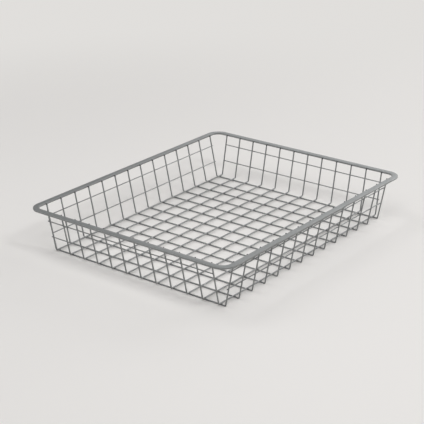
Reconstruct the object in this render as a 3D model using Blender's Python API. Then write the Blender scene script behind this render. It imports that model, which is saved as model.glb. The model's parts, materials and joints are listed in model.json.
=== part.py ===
"""Shallow gliding wire basket: a folded grid of steel wires inside a flat rim strip.

Metres, +Z up. X runs across the basket, Y runs along it from front to back, and the
origin is at the bottom centre. The grid is two layers of straight wires that are welded
flat and then folded up on all four sides, so every grid wire is one U-shaped piece.
"""

import math

import bmesh
import bpy
from mathutils import Matrix, Vector

# Floor grid: cross wires lie under the long wires and carry the basket.
CROSS_WIRE_COUNT = 14
LONG_WIRE_COUNT = 12
CROSS_WIRE_PITCH = 0.0358
LONG_WIRE_PITCH = 0.0332
GRID_WIRE_DIAMETER = 0.0025
GRID_WIRE_SIDES = 12

# Folds: how far past the last wire of the other layer each fold's corner lies.
SIDE_FOLD_PAST_GRID = 0.0089
END_FOLD_PAST_GRID = 0.0068
FOLD_RADIUS = 0.0022
FOLD_STEPS = 6
SIDE_LEAN = math.radians(11.7)
END_LEAN = math.radians(12)

# Wall wires: two thinner straight wires on each wall.
WALL_WIRE_DIAMETER = 0.0019
WALL_WIRE_SIDES = 8
SIDE_LOWER_WIRE_HEIGHT = 0.0315
SIDE_UPPER_WIRE_HEIGHT = 0.064
END_LOWER_WIRE_HEIGHT = 0.0325
END_UPPER_WIRE_HEIGHT = 0.0648
SIDE_WALL_WIRE_PAST_GRID = 0.001
END_WALL_WIRE_PAST_GRID = 0.0018

# Rim: a flat strip bent on edge round the corners, its ends joined at the back.
BASKET_HEIGHT = 0.085
RIM_WIDTH = 0.011
RIM_THICKNESS = 0.003
RIM_INNER_CORNER_RADIUS = 0.015
RIM_EDGE_ROUND = 0.0006
RIM_EDGE_STEPS = 3
RIM_CORNER_STEPS = 14
WIRE_TIP_BELOW_RIM_TOP = 0.0005

# Welded faces keep this much air between the solids.
WELD_GAP = 0.0003
# Rim rings closer than this are the two ends of the strip meeting.
JOINED_WITHIN = 0.00001

# Grey powder coat: color, metallic and roughness. Thinner stock takes a rougher coat.
RIM_PAINT = ((0.34, 0.35, 0.35, 1.0), 0.25, 0.42)
GRID_WIRE_PAINT = ((0.33, 0.34, 0.34, 1.0), 0.25, 0.46)
WALL_WIRE_PAINT = ((0.33, 0.34, 0.34, 1.0), 0.25, 0.48)

GRID_WIRE_RADIUS = GRID_WIRE_DIAMETER / 2
WALL_WIRE_RADIUS = WALL_WIRE_DIAMETER / 2
CROSS_WIRE_HEIGHT = GRID_WIRE_RADIUS
LONG_WIRE_HEIGHT = CROSS_WIRE_HEIGHT + GRID_WIRE_DIAMETER + WELD_GAP
WIRE_TIP_HEIGHT = BASKET_HEIGHT - WIRE_TIP_BELOW_RIM_TOP
GRID_HALF_WIDTH = (LONG_WIRE_COUNT - 1) / 2 * LONG_WIRE_PITCH
GRID_HALF_LENGTH = (CROSS_WIRE_COUNT - 1) / 2 * CROSS_WIRE_PITCH
SIDE_FOLD = GRID_HALF_WIDTH + SIDE_FOLD_PAST_GRID
END_FOLD = GRID_HALF_LENGTH + END_FOLD_PAST_GRID
WALL_WIRE_OFFSET = GRID_WIRE_RADIUS + WELD_GAP + WALL_WIRE_RADIUS


def clear_scene():
    for thing in list(bpy.data.objects):
        bpy.data.objects.remove(thing, do_unlink=True)


def painted(name, paint):
    color, metallic, roughness = paint
    material = bpy.data.materials.new(name)
    material.use_nodes = True
    shader = material.node_tree.nodes["Principled BSDF"]
    shader.inputs["Base Color"].default_value = color
    shader.inputs["Metallic"].default_value = metallic
    shader.inputs["Roughness"].default_value = roughness
    return material


def section(bm, outline, direction, place):
    """One face across direction, which lies in the XZ plane, with the outline's X along Y."""
    points = [bm.verts.new((x, y, 0)) for x, y in outline]
    face = bm.faces.new(points)
    level = Vector((0, 1, 0))
    turn = Matrix((level, direction.cross(level), direction)).transposed()
    bmesh.ops.transform(bm, matrix=Matrix.Translation(place) @ turn.to_4x4(), verts=points)
    return face


def round_outline(radius, sides):
    """Polygon whose flats, one of them at the bottom, lie at the radius."""
    corner = radius / math.cos(math.pi / sides)
    turns = [(step + 1 / 2) * math.tau / sides for step in range(sides)]
    return [(corner * math.cos(turn), corner * math.sin(turn)) for turn in turns]


def end_face(bm, face, drawn):
    """The new end face among what was drawn; the old one goes if it is now inside."""
    if len(face.edges[0].link_faces) > 2:
        bmesh.ops.delete(bm, geom=[face], context="FACES_ONLY")
    return next(item for item in drawn if isinstance(item, bmesh.types.BMFace))


def run_straight(bm, face, step):
    """Draws the end face out along step and returns the new end face."""
    drawn = bmesh.ops.extrude_face_region(bm, geom=[face])["geom"]
    moved = [item for item in drawn if isinstance(item, bmesh.types.BMVert)]
    bmesh.ops.translate(bm, vec=step, verts=moved)
    return end_face(bm, face, drawn)


def run_bend(bm, face, centre, axis, angle, steps):
    """Turns the end face about an axis and returns the new end face."""
    turned = bmesh.ops.spin(bm, geom=[face], cent=centre, axis=axis, angle=angle, steps=steps)
    return end_face(bm, face, turned["geom_last"])


def finish_mesh(bm, name):
    bmesh.ops.recalc_face_normals(bm, faces=bm.faces)
    mesh = bpy.data.meshes.new(name)
    bm.to_mesh(mesh)
    bm.free()
    mesh.shade_smooth()
    mesh.set_sharp_from_angle(angle=math.radians(50))
    return mesh


def folded_wire_mesh(name, fold, lean, rise):
    """U-shaped wire in the XZ plane, its floor run's axis on X and its tips at height rise."""
    bend = math.pi / 2 - lean
    taken = FOLD_RADIUS * math.tan(bend / 2)
    leg = rise / math.cos(lean) - taken
    down = Vector((math.sin(lean), 0, -math.cos(lean)))
    up = Vector((math.sin(lean), 0, math.cos(lean)))
    tip = Vector((-fold - rise * math.tan(lean), 0, rise))
    run = fold - taken
    bm = bmesh.new()
    end = section(bm, round_outline(GRID_WIRE_RADIUS, GRID_WIRE_SIDES), down, tip)
    end = run_straight(bm, end, down * leg)
    end = run_bend(bm, end, (-run, 0, FOLD_RADIUS), (0, -1, 0), bend, FOLD_STEPS)
    end = run_straight(bm, end, (2 * run, 0, 0))
    end = run_bend(bm, end, (run, 0, FOLD_RADIUS), (0, -1, 0), bend, FOLD_STEPS)
    run_straight(bm, end, up * leg)
    return finish_mesh(bm, name)


def straight_wire_mesh(name, half_length):
    """Straight wall wire along X."""
    bm = bmesh.new()
    along = Vector((1, 0, 0))
    outline = round_outline(WALL_WIRE_RADIUS, WALL_WIRE_SIDES)
    end = section(bm, outline, along, along * -half_length)
    run_straight(bm, end, along * 2 * half_length)
    return finish_mesh(bm, name)


def rim_outline():
    """Rounded section of the strip, its inner edge on the first axis's zero."""
    flat = RIM_WIDTH - 2 * RIM_EDGE_ROUND
    tall = RIM_THICKNESS - 2 * RIM_EDGE_ROUND
    corners = ((1, 0), (1, 1), (0, 1), (0, 0))
    points = []
    for quarter, (across, high) in enumerate(corners):
        for step in range(RIM_EDGE_STEPS + 1):
            turn = (quarter - 1 + step / RIM_EDGE_STEPS) * math.pi / 2
            x = RIM_EDGE_ROUND + across * flat + RIM_EDGE_ROUND * math.cos(turn)
            y = RIM_EDGE_ROUND + high * tall + RIM_EDGE_ROUND * math.sin(turn)
            points.append((x, y))
    return points


def wire_tip_reach(fold, lean, wire_height):
    """How far from the middle the outer edge of a wire's tip comes."""
    rise = WIRE_TIP_HEIGHT - wire_height
    return fold + rise * math.tan(lean) + GRID_WIRE_RADIUS * math.cos(lean)


def rim_mesh():
    """Strip run from the middle of the back, round four corners, to where it started."""
    half_width = wire_tip_reach(SIDE_FOLD, SIDE_LEAN, CROSS_WIRE_HEIGHT) + WELD_GAP
    half_length = wire_tip_reach(END_FOLD, END_LEAN, LONG_WIRE_HEIGHT) + WELD_GAP
    straight_x = half_width - RIM_INNER_CORNER_RADIUS
    straight_y = half_length - RIM_INNER_CORNER_RADIUS
    bm = bmesh.new()
    heading = Vector((-1, 0, 0))
    start = Vector((0, half_length, BASKET_HEIGHT - RIM_THICKNESS))
    points = [bm.verts.new(start + Vector((0, x, y))) for x, y in rim_outline()]
    first = bm.faces.new(points)
    end = run_straight(bm, first, heading * straight_x)
    corners = ((-1, 1, straight_y), (-1, -1, straight_x), (1, -1, straight_y), (1, 1, straight_x))
    for number, (side_x, side_y, half_run) in enumerate(corners):
        centre = (side_x * straight_x, side_y * straight_y, 0)
        end = run_bend(bm, end, centre, (0, 0, 1), math.pi / 2, RIM_CORNER_STEPS)
        heading = Vector((-heading.y, heading.x, 0))
        last = number == len(corners) - 1
        end = run_straight(bm, end, heading * half_run * (1 if last else 2))
    bmesh.ops.delete(bm, geom=[first, end], context="FACES_ONLY")
    bmesh.ops.remove_doubles(bm, verts=bm.verts, dist=JOINED_WITHIN)
    return finish_mesh(bm, "rim")


def add(name, mesh, material, parent, place=(0, 0, 0), turn=(0, 0, 0)):
    if not mesh.materials:
        mesh.materials.append(material)
    thing = bpy.data.objects.new(name, mesh)
    bpy.context.collection.objects.link(thing)
    thing.parent = parent
    thing.location = place
    thing.rotation_euler = turn
    return thing


def add_cross_wires(material, parent):
    """Lower layer: across the floor and up the two sides."""
    rise = WIRE_TIP_HEIGHT - CROSS_WIRE_HEIGHT
    mesh = folded_wire_mesh("cross_wire", SIDE_FOLD, SIDE_LEAN, rise)
    for number in range(CROSS_WIRE_COUNT):
        place = (0, number * CROSS_WIRE_PITCH - GRID_HALF_LENGTH, CROSS_WIRE_HEIGHT)
        add(f"cross_wire_{number + 1:02d}", mesh, material, parent, place)


def add_long_wires(material, parent):
    """Upper layer: along the floor and up the front and the back."""
    rise = WIRE_TIP_HEIGHT - LONG_WIRE_HEIGHT
    mesh = folded_wire_mesh("long_wire", END_FOLD, END_LEAN, rise)
    for number in range(LONG_WIRE_COUNT):
        place = (number * LONG_WIRE_PITCH - GRID_HALF_WIDTH, 0, LONG_WIRE_HEIGHT)
        add(f"long_wire_{number + 1:02d}", mesh, material, parent, place, (0, 0, math.pi / 2))


def add_side_wall_wires(material, parent):
    """They lie on the inner face of the side walls, as the long wires lie on the floor."""
    mesh = straight_wire_mesh("side_wall_wire", GRID_HALF_LENGTH + SIDE_WALL_WIRE_PAST_GRID)
    heights = {"lower": SIDE_LOWER_WIRE_HEIGHT, "upper": SIDE_UPPER_WIRE_HEIGHT}
    for side, sign in (("left", -1), ("right", 1)):
        for level, height in heights.items():
            wall = SIDE_FOLD + (height - CROSS_WIRE_HEIGHT) * math.tan(SIDE_LEAN)
            x = sign * (wall - WALL_WIRE_OFFSET * math.cos(SIDE_LEAN))
            z = height + WALL_WIRE_OFFSET * math.sin(SIDE_LEAN)
            turn = (sign * SIDE_LEAN, 0, math.pi / 2)
            add(f"{side}_wall_wire_{level}", mesh, material, parent, (x, 0, z), turn)


def add_end_wall_wires(material, parent):
    """They lie on the outer face of the end walls, as the cross wires lie under the floor."""
    mesh = straight_wire_mesh("end_wall_wire", GRID_HALF_WIDTH + END_WALL_WIRE_PAST_GRID)
    heights = {"lower": END_LOWER_WIRE_HEIGHT, "upper": END_UPPER_WIRE_HEIGHT}
    for side, sign in (("front", -1), ("back", 1)):
        for level, height in heights.items():
            wall = END_FOLD + (height - LONG_WIRE_HEIGHT) * math.tan(END_LEAN)
            y = sign * (wall + WALL_WIRE_OFFSET * math.cos(END_LEAN))
            z = height - WALL_WIRE_OFFSET * math.sin(END_LEAN)
            turn = (-sign * END_LEAN, 0, 0)
            add(f"{side}_wall_wire_{level}", mesh, material, parent, (0, y, z), turn)


def main():
    clear_scene()
    basket = bpy.data.objects.new("basket", None)
    bpy.context.collection.objects.link(basket)
    grid_wire_paint = painted("grid_wire_paint", GRID_WIRE_PAINT)
    wall_wire_paint = painted("wall_wire_paint", WALL_WIRE_PAINT)
    add("rim", rim_mesh(), painted("rim_paint", RIM_PAINT), basket)
    add_cross_wires(grid_wire_paint, basket)
    add_long_wires(grid_wire_paint, basket)
    add_side_wall_wires(wall_wire_paint, basket)
    add_end_wall_wires(wall_wire_paint, basket)


if __name__ == "__main__":
    main()
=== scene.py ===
"""Looks of the gliding wire basket: round wires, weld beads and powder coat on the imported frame.

Meters, +Z up. Left is -X, right is +X, front is -Y and back is +Y, as in the frame.
"""

import json
import math

import bmesh
import bpy
from mathutils import Matrix, Vector


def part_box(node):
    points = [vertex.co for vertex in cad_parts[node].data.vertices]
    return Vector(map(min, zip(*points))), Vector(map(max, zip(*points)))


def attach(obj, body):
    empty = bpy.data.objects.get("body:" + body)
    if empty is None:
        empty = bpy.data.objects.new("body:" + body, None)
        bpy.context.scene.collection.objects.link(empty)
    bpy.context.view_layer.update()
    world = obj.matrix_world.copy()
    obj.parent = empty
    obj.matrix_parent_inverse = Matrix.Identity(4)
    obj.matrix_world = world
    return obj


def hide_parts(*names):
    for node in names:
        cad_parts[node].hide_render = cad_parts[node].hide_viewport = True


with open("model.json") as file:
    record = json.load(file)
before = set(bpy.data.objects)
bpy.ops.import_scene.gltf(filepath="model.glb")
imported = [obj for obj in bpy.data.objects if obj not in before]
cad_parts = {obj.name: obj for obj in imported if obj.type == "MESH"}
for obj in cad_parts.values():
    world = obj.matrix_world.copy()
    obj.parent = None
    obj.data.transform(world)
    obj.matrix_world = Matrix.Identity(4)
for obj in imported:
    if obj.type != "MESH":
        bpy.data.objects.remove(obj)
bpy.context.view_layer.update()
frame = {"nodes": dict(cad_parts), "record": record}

bl_info = {
    "name": "Gliding wire basket",
    "version": (1, 0, 0),
    "blender": (4, 5, 0),
    "location": "3D View > Sidebar > Basket",
    "description": "Models a welded wire basket with a flat rim strip, and its powder coat",
    "category": "Object",
}

SLOT_COLORS = {row["slot"]: row["base_color"] for row in frame["record"]["materials"]}
CROSS_WIRES = sorted(name for name in frame["nodes"] if name.startswith("cross_wire"))
LONG_WIRES = sorted(name for name in frame["nodes"] if name.startswith("long_wire"))
WALL_ROWS = ("lower", "upper")

ACROSS = Vector((1, 0, 0))
ALONG = Vector((0, 1, 0))
UP = Vector((0, 0, 1))

# Edges that turn by less than this are shaded smooth.
SMOOTH_BELOW = math.radians(40)
# Points of the rim closer than this are the two ends of the strip meeting.
JOINED_WITHIN = 0.00001
# A weld bead starts as a ball of few faces, because there are hundreds of beads.
BEAD_SEGMENTS = 8
BEAD_RINGS = 6
# A point is at a bead's corner where the product of its distances from the bead's two axes
# is more than this share of the bead's reach squared.
BEAD_CORNER_FROM = 0.1

# Levels of finer noise within each pattern's patches.
CLOUD_DETAIL = 3.0
GRAIN_DETAIL = 2.0
PEEL_DETAIL = 1.5

FLOOR_COLOR = (0.85, 0.83, 0.81)
BOUNCE_COLOR = (0.36, 0.34, 0.33)
FAR_COLOR = (0.75, 0.735, 0.715)
FLOOR_ROUGHNESS = 0.9
FLOOR_SPECULAR = 0.2
SKY_COLOR = (1.0, 1.0, 1.0)
SENSOR_WIDTH = 36  # millimeters
LAMPS = (
    "front",
    "front_right",
    "high_left",
    "high_right",
    "left",
    "right",
    "back_right",
    "back",
)


def length(name, description, default):
    """A property that holds a length in meters."""
    return bpy.props.FloatProperty(
        name=name,
        description=description,
        default=default,
        min=0.0,
        precision=5,
        subtype="DISTANCE",
        unit="LENGTH",
    )


def angle(name, description, default):
    """A property that holds an angle, its default given in degrees."""
    return bpy.props.FloatProperty(
        name=name,
        description=description,
        default=math.radians(default),
        precision=3,
        subtype="ANGLE",
        unit="ROTATION",
    )


def count(name, description, default):
    """A property that holds how many there are of something."""
    return bpy.props.IntProperty(name=name, description=description, default=default, min=1)


def place(name, description, default):
    """A property that holds a point, in meters."""
    return bpy.props.FloatVectorProperty(
        name=name,
        description=description,
        default=default,
        precision=5,
        subtype="TRANSLATION",
        unit="LENGTH",
    )


def strength(name, description, default, unit="NONE"):
    """A property that holds an amount of light."""
    return bpy.props.FloatProperty(
        name=name, description=description, default=default, min=0.0, unit=unit
    )


def share(name, description, default):
    """A property that holds a share from 0 to 1."""
    return bpy.props.FloatProperty(
        name=name, description=description, default=default, min=0.0, max=1.0, subtype="FACTOR"
    )


def color(name, description, default):
    """A property that holds a color, in linear light."""
    return bpy.props.FloatVectorProperty(
        name=name, description=description, default=default, min=0.0, max=1.0, subtype="COLOR"
    )


def lamp_place(lamp, default):
    """A property that holds a lamp's place, as the camera sees it."""
    return place(lamp, "Rightwards, away and up from the basket", default)


def lamp_size(lamp, default):
    """A property that holds the side of a square lamp."""
    return length(lamp + " size", "Side of the square lamp", default)


def lamp_power(lamp, default):
    """A property that holds a lamp's light."""
    return strength(lamp + " power", "Light of the lamp", default, "POWER")


class BasketSizes(bpy.types.PropertyGroup):
    """Sizes that the frame's boxes don't give"""

    grid_wire_sides: count("Grid wire sides", "Sides of a grid wire's round section", 24)
    wall_wire_sides: count("Wall wire sides", "Sides of a wall wire's round section", 20)
    wall_wire_diameter: length("Wall wire diameter", "Thickness of the wires on the walls", 0.0019)
    wire_end_round: length("Wire end round", "Rounding of a wire's cut ends", 0.0004)
    wire_end_steps: count("Wire end steps", "Steps of the rounding of a wire's ends", 3)
    fold_radius: length("Fold radius", "Radius of a fold, on the wire's center line", 0.0022)
    fold_steps: count("Fold steps", "Steps round a fold", 12)
    side_lean: angle("Side lean", "How far the side walls lean outwards", 11.7)
    end_lean: angle("End lean", "How far the end walls lean outwards", 12)
    rim_width: length("Rim width", "Width of the flat rim strip", 0.011)
    rim_inner_radius: length("Rim inner radius", "Radius of the rim's inner corners", 0.015)
    rim_edge_round: length("Rim edge round", "Rounding of the strip's edges", 0.0005)
    rim_edge_steps: count("Rim edge steps", "Steps of the rounding of the strip's edges", 4)
    rim_corner_steps: count("Rim corner steps", "Steps round a corner of the rim", 20)
    weld_gap: length("Weld gap", "Gap between two wires, which a weld bead closes", 0.0003)
    bead_reach: length("Bead reach", "Half the width of a bead on the floor", 0.0015)
    bead_depth: length("Bead depth", "Half the thickness of a bead on the floor", 0.0008)
    wall_bead_reach: length("Wall bead reach", "Half the width of a bead on a wall", 0.0012)
    wall_bead_depth: length("Wall bead depth", "Half the thickness of a bead on a wall", 0.0007)
    rim_bead_reach: length("Rim bead reach", "Half the width of a bead on the rim", 0.0012)
    rim_bead_depth: length("Rim bead depth", "Half the thickness of a bead on the rim", 0.0007)
    bead_corner: share("Bead corner", "How much further out a bead's corners are drawn", 0.25)


class BasketPaint(bpy.types.PropertyGroup):
    """Powder coat of the rim and the wires"""

    rim_color: color("Rim color", "Color of the rim", SLOT_COLORS["rim_paint"])
    grid_color: color("Grid wire color", "Color of the grid wires", SLOT_COLORS["grid_wire_paint"])
    wall_color: color("Wall wire color", "Color of the wall wires", SLOT_COLORS["wall_wire_paint"])
    metallic: share("Metallic", "Share of metal flake in the coat", 0.5)
    roughness: share("Roughness", "Mean roughness of the coat", 0.45)
    cloud_size: length("Cloud size", "Size of the faint clouds in the coat", 0.05)
    cloud_tone: share("Cloud tone", "How much the clouds change the color", 0.2)
    grain_size: length("Grain size", "Size of the fine specks in the coat", 0.0016)
    grain_tone: share("Grain tone", "How much the specks change the color", 0.08)
    grain_roughness: share("Grain roughness", "How much the specks change the roughness", 0.08)
    peel_size: length("Peel size", "Distance between the dimples of the coat", 0.0009)
    peel_depth: length("Peel depth", "Depth of the dimples", 0.00002)
    # Painted shade at the tips of the uprights, for the rim's shade on them: how much darker, and
    # between which heights it fades in.
    painted_tip_shade: share("Weld shade", "How much darker a wire's tip is at its weld", 0.65)
    painted_tip_shade_start: length("Weld shade start", "Height at which a wire starts to darken", 0.0810)
    painted_tip_shade_end: length("Weld shade end", "Height from which a wire is darkest", 0.0828)


class BasketStudio(bpy.types.PropertyGroup):
    """Floor, lamps and camera"""

    floor_color: color("Floor color", "Color of the plain floor in the picture", FLOOR_COLOR)
    bounce_color: color("Bounce color", "Color of the light off the floor", BOUNCE_COLOR)
    floor_size: length("Floor size", "Side of the square floor", 60.0)
    far_color: color("Far floor color", "Color of the floor far from the basket", FAR_COLOR)
    far_start: length("Far floor start", "Distance at which the floor starts to turn plain", 0.6)
    far_end: length("Far floor end", "Distance from which the floor is plain", 1.6)
    sky_strength: strength("Sky strength", "Light from all round", 0.03)
    front_place: lamp_place("Front lamp", (0.0, -1.4, 2.0))
    front_size: lamp_size("Front lamp", 1.2)
    front_power: lamp_power("Front lamp", 15.2)
    front_right_place: lamp_place("Front right lamp", (1.05, -1.3, 2.0))
    front_right_size: lamp_size("Front right lamp", 0.5)
    front_right_power: lamp_power("Front right lamp", 12.2)
    high_left_place: lamp_place("High left lamp", (-1.2, 0.6, 2.6))
    high_left_size: lamp_size("High left lamp", 1.2)
    high_left_power: lamp_power("High left lamp", 16.0)
    high_right_place: lamp_place("High right lamp", (1.6, 0.3, 2.0))
    high_right_size: lamp_size("High right lamp", 1.0)
    high_right_power: lamp_power("High right lamp", 7.0)
    left_place: lamp_place("Left lamp", (-2.0, 0.2, 1.4))
    left_size: lamp_size("Left lamp", 1.4)
    left_power: lamp_power("Left lamp", 10.4)
    right_place: lamp_place("Right lamp", (3.0, 1.6, 1.3))
    right_size: lamp_size("Right lamp", 1.6)
    right_power: lamp_power("Right lamp", 32.8)
    back_right_place: lamp_place("Back right lamp", (1.9, 2.6, 1.9))
    back_right_size: lamp_size("Back right lamp", 1.9)
    back_right_power: lamp_power("Back right lamp", 31.8)
    back_place: lamp_place("Back lamp", (0.4, 2.8, 1.1))
    back_size: lamp_size("Back lamp", 1.4)
    back_power: lamp_power("Back lamp", 6.0)
    camera_target: place("Camera target", "Point that it looks at", (-0.078872, 0.073902, 0.0))
    camera_distance: length("Camera distance", "From the target to the camera", 2.44036)
    camera_azimuth: angle("Camera azimuth", "Turn round the basket from the front", 38.584)
    camera_elevation: angle("Camera elevation", "Height above the horizon", 22.01)
    camera_roll: angle("Camera roll", "Tilt of the picture", -0.731)
    camera_lens: bpy.props.FloatProperty(
        name="Camera lens",
        description="Focal length in millimeters",
        default=108.436,
        subtype="DISTANCE_CAMERA",
        unit="CAMERA",
    )


def sizes():
    return bpy.context.scene.basket_sizes


def center_of(node):
    low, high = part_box(node)
    return (low + high) / 2


def tilted(heading, tilt):
    """A level heading, tilted upwards by an angle."""
    return heading * math.cos(tilt) + UP * math.sin(tilt)


def deselect_all():
    bpy.ops.object.select_all(action="DESELECT")


def pick(thing):
    """Leaves one object selected, and active."""
    deselect_all()
    thing.select_set(True)
    bpy.context.view_layer.objects.active = thing


def rename(thing, name):
    thing.name = name
    thing.data.name = name
    return thing


def settle():
    """Puts the active object's place, turn and scale into its mesh."""
    bpy.ops.object.transform_apply(location=True, rotation=True, scale=True)


def edit(kind):
    """Starts edit mode with everything selected, as vertices, edges or faces."""
    bpy.ops.object.mode_set(mode="EDIT")
    bpy.ops.mesh.select_mode(type=kind)
    bpy.ops.mesh.select_all(action="SELECT")


def draw_out(step):
    """Draws the selected face out along step."""
    bpy.ops.mesh.extrude_region_move(TRANSFORM_OT_translate={"value": step})


def bend_on(center, axis, turn, steps):
    """Draws the selected face round an axis, counterclockwise as seen along it."""
    bpy.ops.mesh.spin(steps=steps, angle=turn, center=center, axis=axis)


def face_outwards():
    bpy.ops.mesh.select_all(action="SELECT")
    bpy.ops.mesh.normals_make_consistent(inside=False)


def select_edges(test):
    """In edit mode, selects the edges that pass a test, and nothing else."""
    bpy.ops.mesh.select_mode(type="EDGE")
    bpy.ops.mesh.select_all(action="DESELECT")
    mesh = bpy.context.object.data
    shape = bmesh.from_edit_mesh(mesh)
    for edge in shape.edges:
        edge.select_set(test(edge))
    bmesh.update_edit_mesh(mesh)


def smooth():
    bpy.ops.object.mode_set(mode="OBJECT")
    bpy.ops.object.shade_smooth_by_angle(angle=SMOOTH_BELOW)


def start_wire(name, radius, sides, start, direction):
    """A round face across direction, ready to be drawn out in edit mode."""
    deselect_all()
    bpy.ops.mesh.primitive_circle_add(
        vertices=sides,
        radius=radius,
        fill_type="NGON",
        location=start,
        rotation=direction.to_track_quat("Z", "Y").to_euler(),
    )
    thing = rename(bpy.context.object, name)
    settle()
    edit("FACE")
    return thing


def on_cut_end(edge):
    """Whether an edge is on a wire's cut end, the only face with more than four corners."""
    return any(len(face.verts) > 4 for face in edge.link_faces)


def finish_wire():
    """Turns the faces outwards and rounds the two cut ends."""
    own = sizes()
    face_outwards()
    select_edges(on_cut_end)
    bpy.ops.mesh.bevel(offset=own.wire_end_round, segments=own.wire_end_steps, affect="EDGES")
    smooth()


def copy_by(thing, name, step):
    """Copies a piece, with its own mesh, and moves the copy."""
    pick(thing)
    bpy.ops.object.duplicate()
    made = rename(bpy.context.object, name)
    bpy.ops.transform.translate(value=step)
    settle()
    return made


def repeat(copies, step):
    """Repeats the active object along step."""
    thing = bpy.context.object
    array = thing.modifiers.new("repeat", "ARRAY")
    array.use_relative_offset = False
    array.use_constant_offset = True
    array.constant_offset_displace = step
    array.count = copies
    bpy.ops.object.modifier_apply(modifier=array.name)


def mirror(axis):
    """Mirrors the active object across the basket's middle, along one axis."""
    thing = bpy.context.object
    other = thing.modifiers.new("mirror", "MIRROR")
    other.use_axis = [bool(part) for part in axis]
    other.use_mirror_merge = False
    bpy.ops.object.modifier_apply(modifier=other.name)


def coat(thing, slot):
    """Gives a piece its powder coat, and the body and slot that it belongs to."""
    thing.data.materials.clear()
    thing.data.materials.append(powder_coat(slot))
    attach(thing, "root")


class Wired:
    """A node's socket, which sums and products add Math nodes to."""

    def __init__(self, nodes, socket):
        self.nodes = nodes
        self.socket = socket

    def _math(self, operation, first, second):
        return self.nodes.add("ShaderNodeMath", {"operation": operation}, {0: first, 1: second})

    def __add__(self, other):
        return self._math("ADD", self, other)

    __radd__ = __add__

    def __sub__(self, other):
        return self._math("SUBTRACT", self, other)

    def __rsub__(self, other):
        return self._math("SUBTRACT", other, self)

    def __mul__(self, other):
        return self._math("MULTIPLY", self, other)

    __rmul__ = __mul__


class Nodes:
    """Adds nodes to one node tree."""

    def __init__(self, tree):
        self.tree = tree

    def add(self, kind, settings, values, output=0):
        """A new node: its settings first, then a number, color or link for each socket."""
        node = self.tree.nodes.new(kind)
        for name, value in settings.items():
            setattr(node, name, value)
        for key, value in values.items():
            self.give(node.inputs[key], value)
        return Wired(self, node.outputs[output])

    def give(self, socket, value):
        if isinstance(value, Wired):
            self.tree.links.new(value.socket, socket)
        else:
            socket.default_value = value

    def noise(self, where, size, detail):
        """Noise from 0 to 1 whose patches are about this size in meters."""
        values = {"Vector": where, "Scale": 1 / size, "Detail": detail}
        return self.add("ShaderNodeTexNoise", {}, values)

    def ramp(self, value, start, end):
        """0 up to start, 1 from end on, and a smooth rise between them."""
        values = {"Value": value, "From Min": start, "From Max": end}
        return self.add("ShaderNodeMapRange", {"interpolation_type": "SMOOTHSTEP"}, values)


def powder_coat(slot):
    """Satin powder coat: even color with faint clouds, a fine orange peel and a soft sheen."""
    name = slot + "_coat"
    if name in bpy.data.materials:
        return bpy.data.materials[name]
    paint = bpy.context.scene.basket_paint
    base = {
        "rim_paint": paint.rim_color,
        "grid_wire_paint": paint.grid_color,
        "wall_wire_paint": paint.wall_color,
    }[slot]
    material = bpy.data.materials.new(name)
    material.use_nodes = True
    nodes = Nodes(material.node_tree)
    where = nodes.add("ShaderNodeTexCoord", {}, {}, "Object")
    clouds = nodes.noise(where, paint.cloud_size, CLOUD_DETAIL)
    grain = nodes.noise(where, paint.grain_size, GRAIN_DETAIL)
    peel = nodes.noise(where, paint.peel_size, PEEL_DETAIL)
    darkest = 1 - (paint.cloud_tone + paint.grain_tone) / 2
    tone = darkest + clouds * paint.cloud_tone + grain * paint.grain_tone
    # Painted shade: the grid wires, and the beads that share their coat, are colored darker near
    # the top of the uprights, for the shade that the rim casts on their tips.
    if slot == "grid_wire_paint":
        height = nodes.add("ShaderNodeSeparateXYZ", {}, {0: where}, "Z")
        painted_tip_shade_mask = nodes.ramp(height, paint.painted_tip_shade_start, paint.painted_tip_shade_end)
        tone = tone * (1 - painted_tip_shade_mask * paint.painted_tip_shade)
    gray = nodes.add("ShaderNodeCombineXYZ", {}, {0: tone, 1: tone, 2: tone})
    tint = {0: gray, 1: tuple(base)}
    tinted = nodes.add("ShaderNodeVectorMath", {"operation": "MULTIPLY"}, tint)
    smoothest = paint.roughness - paint.grain_roughness / 2
    rough = smoothest + grain * paint.grain_roughness
    dimples = {"Height": peel, "Distance": paint.peel_depth, "Strength": 1.0}
    relief = nodes.add("ShaderNodeBump", {}, dimples)
    shader = material.node_tree.nodes["Principled BSDF"]
    nodes.give(shader.inputs["Base Color"], tinted)
    nodes.give(shader.inputs["Roughness"], rough)
    nodes.give(shader.inputs["Normal"], relief)
    nodes.give(shader.inputs["Metallic"], paint.metallic)
    return material


def folded_wire(node, along, lean):
    """A grid wire: down one wall, along the floor and up the other wall."""
    own = sizes()
    low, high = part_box(node)
    side = UP.cross(along)
    middle = side * center_of(node).dot(side)
    radius = (high - low).dot(Vector(map(abs, side))) / 2
    floor = low.z + radius
    tip = high.z - radius * math.sin(lean)
    rise = tip - floor
    bend = math.pi / 2 - lean
    # What a fold takes off each of the two straights that it joins.
    taken = own.fold_radius * math.tan(bend / 2)
    reach = high.dot(along) - radius * math.cos(lean)
    run = reach - rise * math.tan(lean) - taken
    leg = rise / math.cos(lean) - taken
    down = along * math.sin(lean) - UP * math.cos(lean)
    up = along * math.sin(lean) + UP * math.cos(lean)
    start = middle + UP * tip - along * reach
    thing = start_wire(node + "_coated", radius, own.grid_wire_sides, start, down)
    draw_out(down * leg)
    bend_height = UP * (floor + own.fold_radius)
    bend_on(middle + bend_height - along * run, side, bend, own.fold_steps)
    draw_out(along * run * 2)
    bend_on(middle + bend_height + along * run, side, bend, own.fold_steps)
    draw_out(up * leg)
    finish_wire()
    return thing


def straight_wire(node, along):
    """A wall wire, cut square at both ends."""
    own = sizes()
    low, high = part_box(node)
    span = (high - low).dot(along)
    start = center_of(node) - along * span / 2
    radius = own.wall_wire_diameter / 2
    thing = start_wire(node + "_coated", radius, own.wall_wire_sides, start, along)
    draw_out(along * span)
    finish_wire()
    return thing


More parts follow.
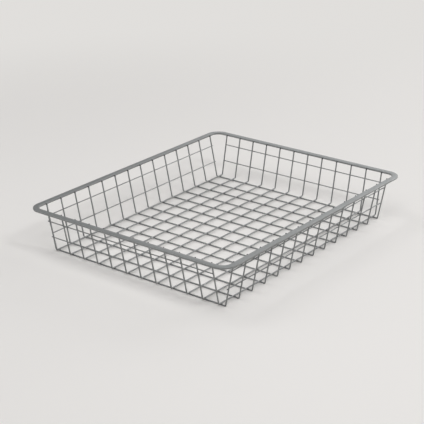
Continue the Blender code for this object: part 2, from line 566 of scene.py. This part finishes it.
def copy_wires(first, nodes, slot):
    """Copies the first node's wire to the others' places, and coats them all."""
    wires = {nodes[0]: first}
    for node in nodes[1:]:
        step = center_of(node) - center_of(nodes[0])
        wires[node] = copy_by(first, node + "_coated", step)
    for node, wire in wires.items():
        coat(wire, slot)
        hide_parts(node)


def rim_section(low, high):
    """The strip's rounded section in the middle of the back, ready to be drawn out."""
    own = sizes()
    half = (high - low) / 2
    deselect_all()
    bpy.ops.mesh.primitive_plane_add(
        size=1,
        location=(low + high) / 2 + ALONG * (half.y - own.rim_width / 2),
        rotation=(0, -math.pi / 2, 0),
    )
    rim = rename(bpy.context.object, "rim_strip")
    rim.scale = (2 * half.z, own.rim_width, 1)
    settle()
    edit("VERT")
    bpy.ops.mesh.bevel(offset=own.rim_edge_round, segments=own.rim_edge_steps, affect="VERTICES")
    bpy.ops.mesh.select_mode(type="FACE")
    bpy.ops.mesh.select_all(action="SELECT")
    return rim


def close_ring():
    """Joins the strip's two ends and takes out the faces that are then inside it."""
    bpy.ops.mesh.select_all(action="SELECT")
    bpy.ops.mesh.remove_doubles(threshold=JOINED_WITHIN)
    bpy.ops.mesh.select_all(action="DESELECT")
    bpy.ops.mesh.select_interior_faces()
    bpy.ops.mesh.delete(type="ONLY_FACE")


class BASKET_OT_rim(bpy.types.Operator):
    """Run the flat strip round the four corners, from the middle of the back, and close it"""

    bl_idname = "basket.rim"
    bl_label = "Rim"

    def execute(self, context):
        own = sizes()
        low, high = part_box("rim")
        half = (high - low) / 2
        middle = (low + high) / 2
        straight_x = half.x - own.rim_width - own.rim_inner_radius
        straight_y = half.y - own.rim_width - own.rim_inner_radius
        rim = rim_section(low, high)
        heading = -ACROSS
        draw_out(heading * straight_x)
        for side_x, side_y in ((-1, 1), (-1, -1), (1, -1), (1, 1)):
            corner = middle + ACROSS * side_x * straight_x + ALONG * side_y * straight_y
            bend_on(corner, -UP, math.pi / 2, own.rim_corner_steps)
            heading = UP.cross(heading)
            run = straight_y if heading.y else straight_x
            last = side_x == side_y == 1
            draw_out(heading * run * (1 if last else 2))
        close_ring()
        face_outwards()
        smooth()
        coat(rim, "rim_paint")
        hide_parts("rim")
        return {"FINISHED"}


class BASKET_OT_cross_wires(bpy.types.Operator):
    """Fold the lower wires, which carry the basket and rise up the side walls"""

    bl_idname = "basket.cross_wires"
    bl_label = "Cross wires"

    def execute(self, context):
        first = folded_wire(CROSS_WIRES[0], ACROSS, sizes().side_lean)
        copy_wires(first, CROSS_WIRES, "grid_wire_paint")
        return {"FINISHED"}


class BASKET_OT_long_wires(bpy.types.Operator):
    """Fold the upper wires, which run along the floor and rise up the front and the back"""

    bl_idname = "basket.long_wires"
    bl_label = "Long wires"

    def execute(self, context):
        first = folded_wire(LONG_WIRES[0], ALONG, sizes().end_lean)
        copy_wires(first, LONG_WIRES, "grid_wire_paint")
        return {"FINISHED"}


class BASKET_OT_wall_wires(bpy.types.Operator):
    """Lay two thinner wires on each wall"""

    bl_idname = "basket.wall_wires"
    bl_label = "Wall wires"

    def execute(self, context):
        for walls, along in ((("left", "right"), ALONG), (("front", "back"), ACROSS)):
            nodes = [f"{wall}_wall_wire_{row}" for wall in walls for row in WALL_ROWS]
            copy_wires(straight_wire(nodes[0], along), nodes, "wall_wire_paint")
        return {"FINISHED"}


def bead(name, spot, normal, along, reach, depth):
    """A weld bead: a flattened ball, its corner points drawn outwards without rising."""
    deselect_all()
    turn = Matrix((along, normal.cross(along), normal)).transposed()
    bpy.ops.mesh.primitive_uv_sphere_add(
        segments=BEAD_SEGMENTS,
        ring_count=BEAD_RINGS,
        radius=1,
        location=spot,
        rotation=turn.to_euler(),
    )
    thing = rename(bpy.context.object, name)
    thing.scale = (reach, reach, depth)
    settle()
    edit("VERT")
    shape = bmesh.from_edit_mesh(thing.data)
    turn_back = turn.transposed()
    for vertex in shape.verts:
        offset = turn_back @ (vertex.co - spot)
        vertex.select_set(abs(offset.x * offset.y) > reach * reach * BEAD_CORNER_FROM)
    bmesh.update_edit_mesh(thing.data)
    widen = 1 + sizes().bead_corner
    bpy.ops.transform.resize(value=(widen, widen, 1), center_override=spot)
    bpy.ops.mesh.select_all(action="SELECT")
    smooth()
    return thing


class BASKET_OT_floor_welds(bpy.types.Operator):
    """Weld the long wires to the cross wires, at every crossing on the floor"""

    bl_idname = "basket.floor_welds"
    bl_label = "Floor welds"

    def execute(self, context):
        own = sizes()
        cross, long = center_of(CROSS_WIRES[0]), center_of(LONG_WIRES[0])
        cross_low, cross_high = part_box(CROSS_WIRES[0])
        long_low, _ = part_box(LONG_WIRES[0])
        radius = (cross_high - cross_low).y / 2
        height = (cross_low.z + long_low.z) / 2 + radius
        spot = Vector((long.x, cross.y, height))
        welds = bead("floor_welds", spot, UP, ACROSS, own.bead_reach, own.bead_depth)
        repeat(len(LONG_WIRES), center_of(LONG_WIRES[1]) - long)
        repeat(len(CROSS_WIRES), center_of(CROSS_WIRES[1]) - cross)
        coat(welds, "grid_wire_paint")
        return {"FINISHED"}


class BASKET_OT_wall_welds(bpy.types.Operator):
    """Weld the wall wires to the uprights, inside the side walls and outside the end walls"""

    bl_idname = "basket.wall_welds"
    bl_label = "Wall welds"

    def execute(self, context):
        own = sizes()
        rows = (
            ("left", CROSS_WIRES, ALONG, tilted(-ACROSS, -own.side_lean)),
            ("front", LONG_WIRES, ACROSS, tilted(ALONG, own.end_lean)),
        )
        for wall, uprights, along, to_upright in rows:
            lower, upper = (center_of(f"{wall}_wall_wire_{row}") for row in WALL_ROWS)
            first = center_of(uprights[0])
            spot = lower + along * (first - lower).dot(along)
            spot += to_upright * (own.wall_wire_diameter + own.weld_gap) / 2
            reach, depth = own.wall_bead_reach, own.wall_bead_depth
            welds = bead(f"{wall}_wall_welds", spot, to_upright, along, reach, depth)
            repeat(len(uprights), center_of(uprights[1]) - first)
            repeat(len(WALL_ROWS), upper - lower)
            mirror(UP.cross(along))
            coat(welds, "grid_wire_paint")
        return {"FINISHED"}


class BASKET_OT_rim_welds(bpy.types.Operator):
    """Weld the tips of the uprights to the inside of the rim"""

    bl_idname = "basket.rim_welds"
    bl_label = "Rim welds"

    def execute(self, context):
        own = sizes()
        low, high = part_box("rim")
        rows = (("side", CROSS_WIRES, ALONG, ACROSS), ("end", LONG_WIRES, ACROSS, ALONG))
        for wall, uprights, along, heading in rows:
            first = center_of(uprights[0])
            face = high.dot(heading) - own.rim_width
            spot = heading * face + along * first.dot(along) + UP * (low.z + high.z) / 2
            reach, depth = own.rim_bead_reach, own.rim_bead_depth
            welds = bead(f"{wall}_rim_welds", spot, heading, along, reach, depth)
            repeat(len(uprights), center_of(uprights[1]) - first)
            mirror(heading)
            coat(welds, "grid_wire_paint")
        return {"FINISHED"}


def floor_material(studio):
    """Plain floor: it takes the shadow near the basket, and has one even color far from it."""
    material = bpy.data.materials.new("floor")
    material.use_nodes = True
    nodes = Nodes(material.node_tree)
    seen = nodes.add("ShaderNodeLightPath", {}, {}, "Is Camera Ray")
    seen += nodes.add("ShaderNodeLightPath", {}, {}, "Is Glossy Ray")
    seen += nodes.add("ShaderNodeLightPath", {}, {}, "Is Transmission Ray")
    shown, thrown = (*studio.floor_color, 1.0), (*studio.bounce_color, 1.0)
    values = {"Factor": seen, "A": thrown, "B": shown}
    mixed = nodes.add("ShaderNodeMix", {"data_type": "RGBA"}, values, "Result")
    shader = material.node_tree.nodes["Principled BSDF"]
    nodes.give(shader.inputs["Base Color"], mixed)
    nodes.give(shader.inputs["Roughness"], FLOOR_ROUGHNESS)
    nodes.give(shader.inputs["Specular IOR Level"], FLOOR_SPECULAR)
    where = nodes.add("ShaderNodeTexCoord", {}, {}, "Object")
    away = nodes.add("ShaderNodeVectorMath", {"operation": "LENGTH"}, {0: where}, "Value")
    fade = nodes.ramp(away, studio.far_start, studio.far_end)
    plain = nodes.add("ShaderNodeEmission", {}, {"Color": (*studio.far_color, 1.0)})
    near = Wired(nodes, shader.outputs["BSDF"])
    surface = nodes.add("ShaderNodeMixShader", {}, {0: seen * fade, 1: near, 2: plain})
    nodes.give(material.node_tree.nodes["Material Output"].inputs["Surface"], surface)
    return material


def set_floor(studio):
    deselect_all()
    bpy.ops.mesh.primitive_plane_add(size=studio.floor_size)
    floor = rename(bpy.context.object, "floor")
    floor.data.materials.append(floor_material(studio))


def set_camera(studio):
    turn, roll = studio.camera_azimuth, studio.camera_roll
    from_front = Vector((math.sin(turn), -math.cos(turn), 0))
    back = tilted(from_front, studio.camera_elevation)
    right = UP.cross(from_front)
    above = back.cross(right)
    picture_right = right * math.cos(roll) + above * math.sin(roll)
    picture_up = above * math.cos(roll) - right * math.sin(roll)
    target = Vector(studio.camera_target)
    bpy.ops.object.camera_add(location=target + back * studio.camera_distance)
    camera = rename(bpy.context.object, "camera")
    axes = Matrix((picture_right, picture_up, back)).transposed()
    camera.rotation_euler = axes.to_euler()
    camera.data.sensor_width = SENSOR_WIDTH
    camera.data.lens = studio.camera_lens
    bpy.context.scene.camera = camera


def set_lamps(studio):
    """Square lamps that face the basket. Their places are as the camera sees them."""
    turn = studio.camera_azimuth
    right = Vector((math.cos(turn), math.sin(turn), 0))
    away = Vector((-math.sin(turn), math.cos(turn), 0))
    for name in LAMPS:
        to_right, to_back, height = getattr(studio, name + "_place")
        spot = right * to_right + away * to_back + UP * height
        bpy.ops.object.light_add(type="AREA", location=spot)
        lamp = rename(bpy.context.object, name + "_lamp")
        lamp.rotation_euler = spot.to_track_quat("Z", "Y").to_euler()
        lamp.data.shape = "SQUARE"
        lamp.data.size = getattr(studio, name + "_size")
        lamp.data.energy = getattr(studio, name + "_power")
        lamp.visible_camera = False


def set_sky(studio):
    world = bpy.data.worlds.new("sky")
    bpy.context.scene.world = world
    world.use_nodes = True
    nodes = Nodes(world.node_tree)
    background = world.node_tree.nodes["Background"]
    nodes.give(background.inputs["Color"], (*SKY_COLOR, 1.0))
    nodes.give(background.inputs["Strength"], studio.sky_strength)


class BASKET_OT_studio(bpy.types.Operator):
    """Set the plain floor, the soft lamps and the camera"""

    bl_idname = "basket.studio"
    bl_label = "Studio"

    def execute(self, context):
        studio = context.scene.basket_studio
        set_floor(studio)
        set_camera(studio)
        set_lamps(studio)
        set_sky(studio)
        context.scene.view_settings.view_transform = "Standard"
        return {"FINISHED"}


OPERATORS = (
    BASKET_OT_rim,
    BASKET_OT_cross_wires,
    BASKET_OT_long_wires,
    BASKET_OT_wall_wires,
    BASKET_OT_floor_welds,
    BASKET_OT_wall_welds,
    BASKET_OT_rim_welds,
    BASKET_OT_studio,
)
GROUPS = {"basket_sizes": BasketSizes, "basket_paint": BasketPaint, "basket_studio": BasketStudio}


class BASKET_PT_panel(bpy.types.Panel):
    """Lists the basket's operators and their sizes and colors"""

    bl_idname = "BASKET_PT_panel"
    bl_label = "Gliding wire basket"
    bl_space_type = "VIEW_3D"
    bl_region_type = "UI"
    bl_category = "Basket"

    def draw(self, context):
        for operator in OPERATORS:
            self.layout.operator(operator.bl_idname)
        for name, group in GROUPS.items():
            box = self.layout.box()
            for entry in group.__annotations__:
                box.prop(getattr(context.scene, name), entry)


def register():
    for group in GROUPS.values():
        bpy.utils.register_class(group)
    for name, group in GROUPS.items():
        setattr(bpy.types.Scene, name, bpy.props.PointerProperty(type=group))
    for operator in OPERATORS:
        bpy.utils.register_class(operator)
    bpy.utils.register_class(BASKET_PT_panel)


def unregister():
    bpy.utils.unregister_class(BASKET_PT_panel)
    for operator in reversed(OPERATORS):
        bpy.utils.unregister_class(operator)
    for name, group in GROUPS.items():
        delattr(bpy.types.Scene, name)
        bpy.utils.unregister_class(group)


def main():
    register()
    bpy.ops.basket.rim()
    bpy.ops.basket.cross_wires()
    bpy.ops.basket.long_wires()
    bpy.ops.basket.wall_wires()
    bpy.ops.basket.floor_welds()
    bpy.ops.basket.wall_welds()
    bpy.ops.basket.rim_welds()
    bpy.ops.basket.studio()


if __name__ == "__main__":
    main()
